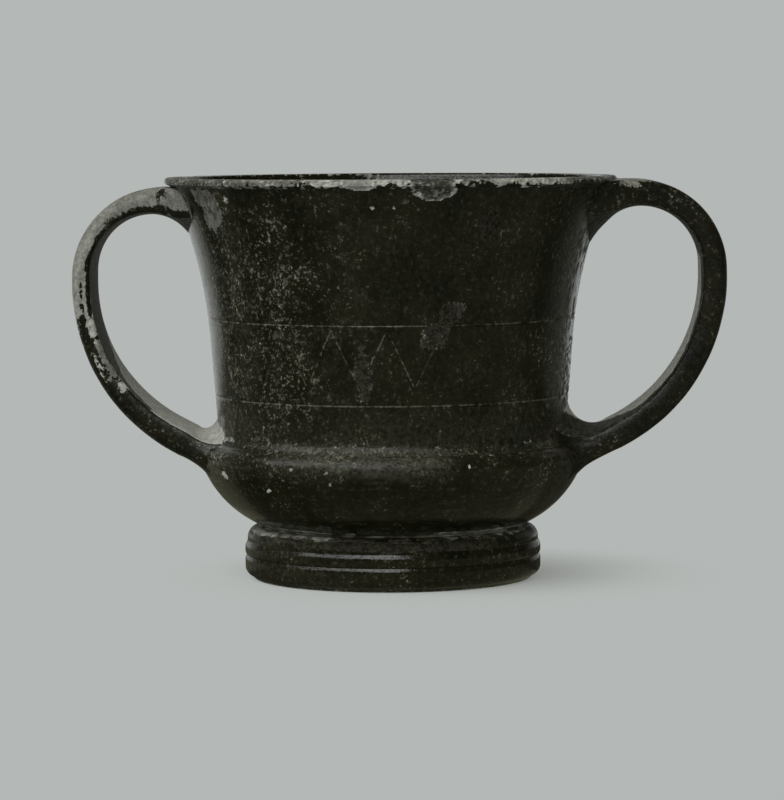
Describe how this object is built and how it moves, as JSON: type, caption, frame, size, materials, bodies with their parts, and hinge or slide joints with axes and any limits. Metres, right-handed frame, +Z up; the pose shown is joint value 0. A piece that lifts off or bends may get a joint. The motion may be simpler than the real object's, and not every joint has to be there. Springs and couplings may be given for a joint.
{
  "type": "drinking cup",
  "caption": "Low-footed drinking cup of dark fired clay with a flaring wall, a sharp ledge above a shallow bowl, a moulded ring foot and tall strap handles.",
  "frame": {"origin": "centre of the ring face that the foot rests on", "axes": "+Z up along the axis of the cup, +X towards the right-hand handle, +Y away from the viewer of the picture"},
  "size_m": [0.1727, 0.12, 0.1065],
  "materials": {
    "black_clay": "burnished near-black fired clay with a soft sheen, speckled and worn pale at the edges",
    "worn_clay": "the same fired clay with its dark surface worn and flaked to pale grey",
    "joint_slip": "matt dried slip, fired grey"
  },
  "bodies": {
    "root": {"bowl": "black_clay", "wall": "black_clay", "ledge_luting": "joint_slip", "foot_ring": "black_clay", "foot_luting": "joint_slip", "left_handle": "worn_clay", "right_handle": "black_clay", "left_upper_luting": "worn_clay", "left_lower_luting": "worn_clay", "right_upper_luting": "black_clay", "right_lower_luting": "black_clay"}
  },
  "joints": []
}
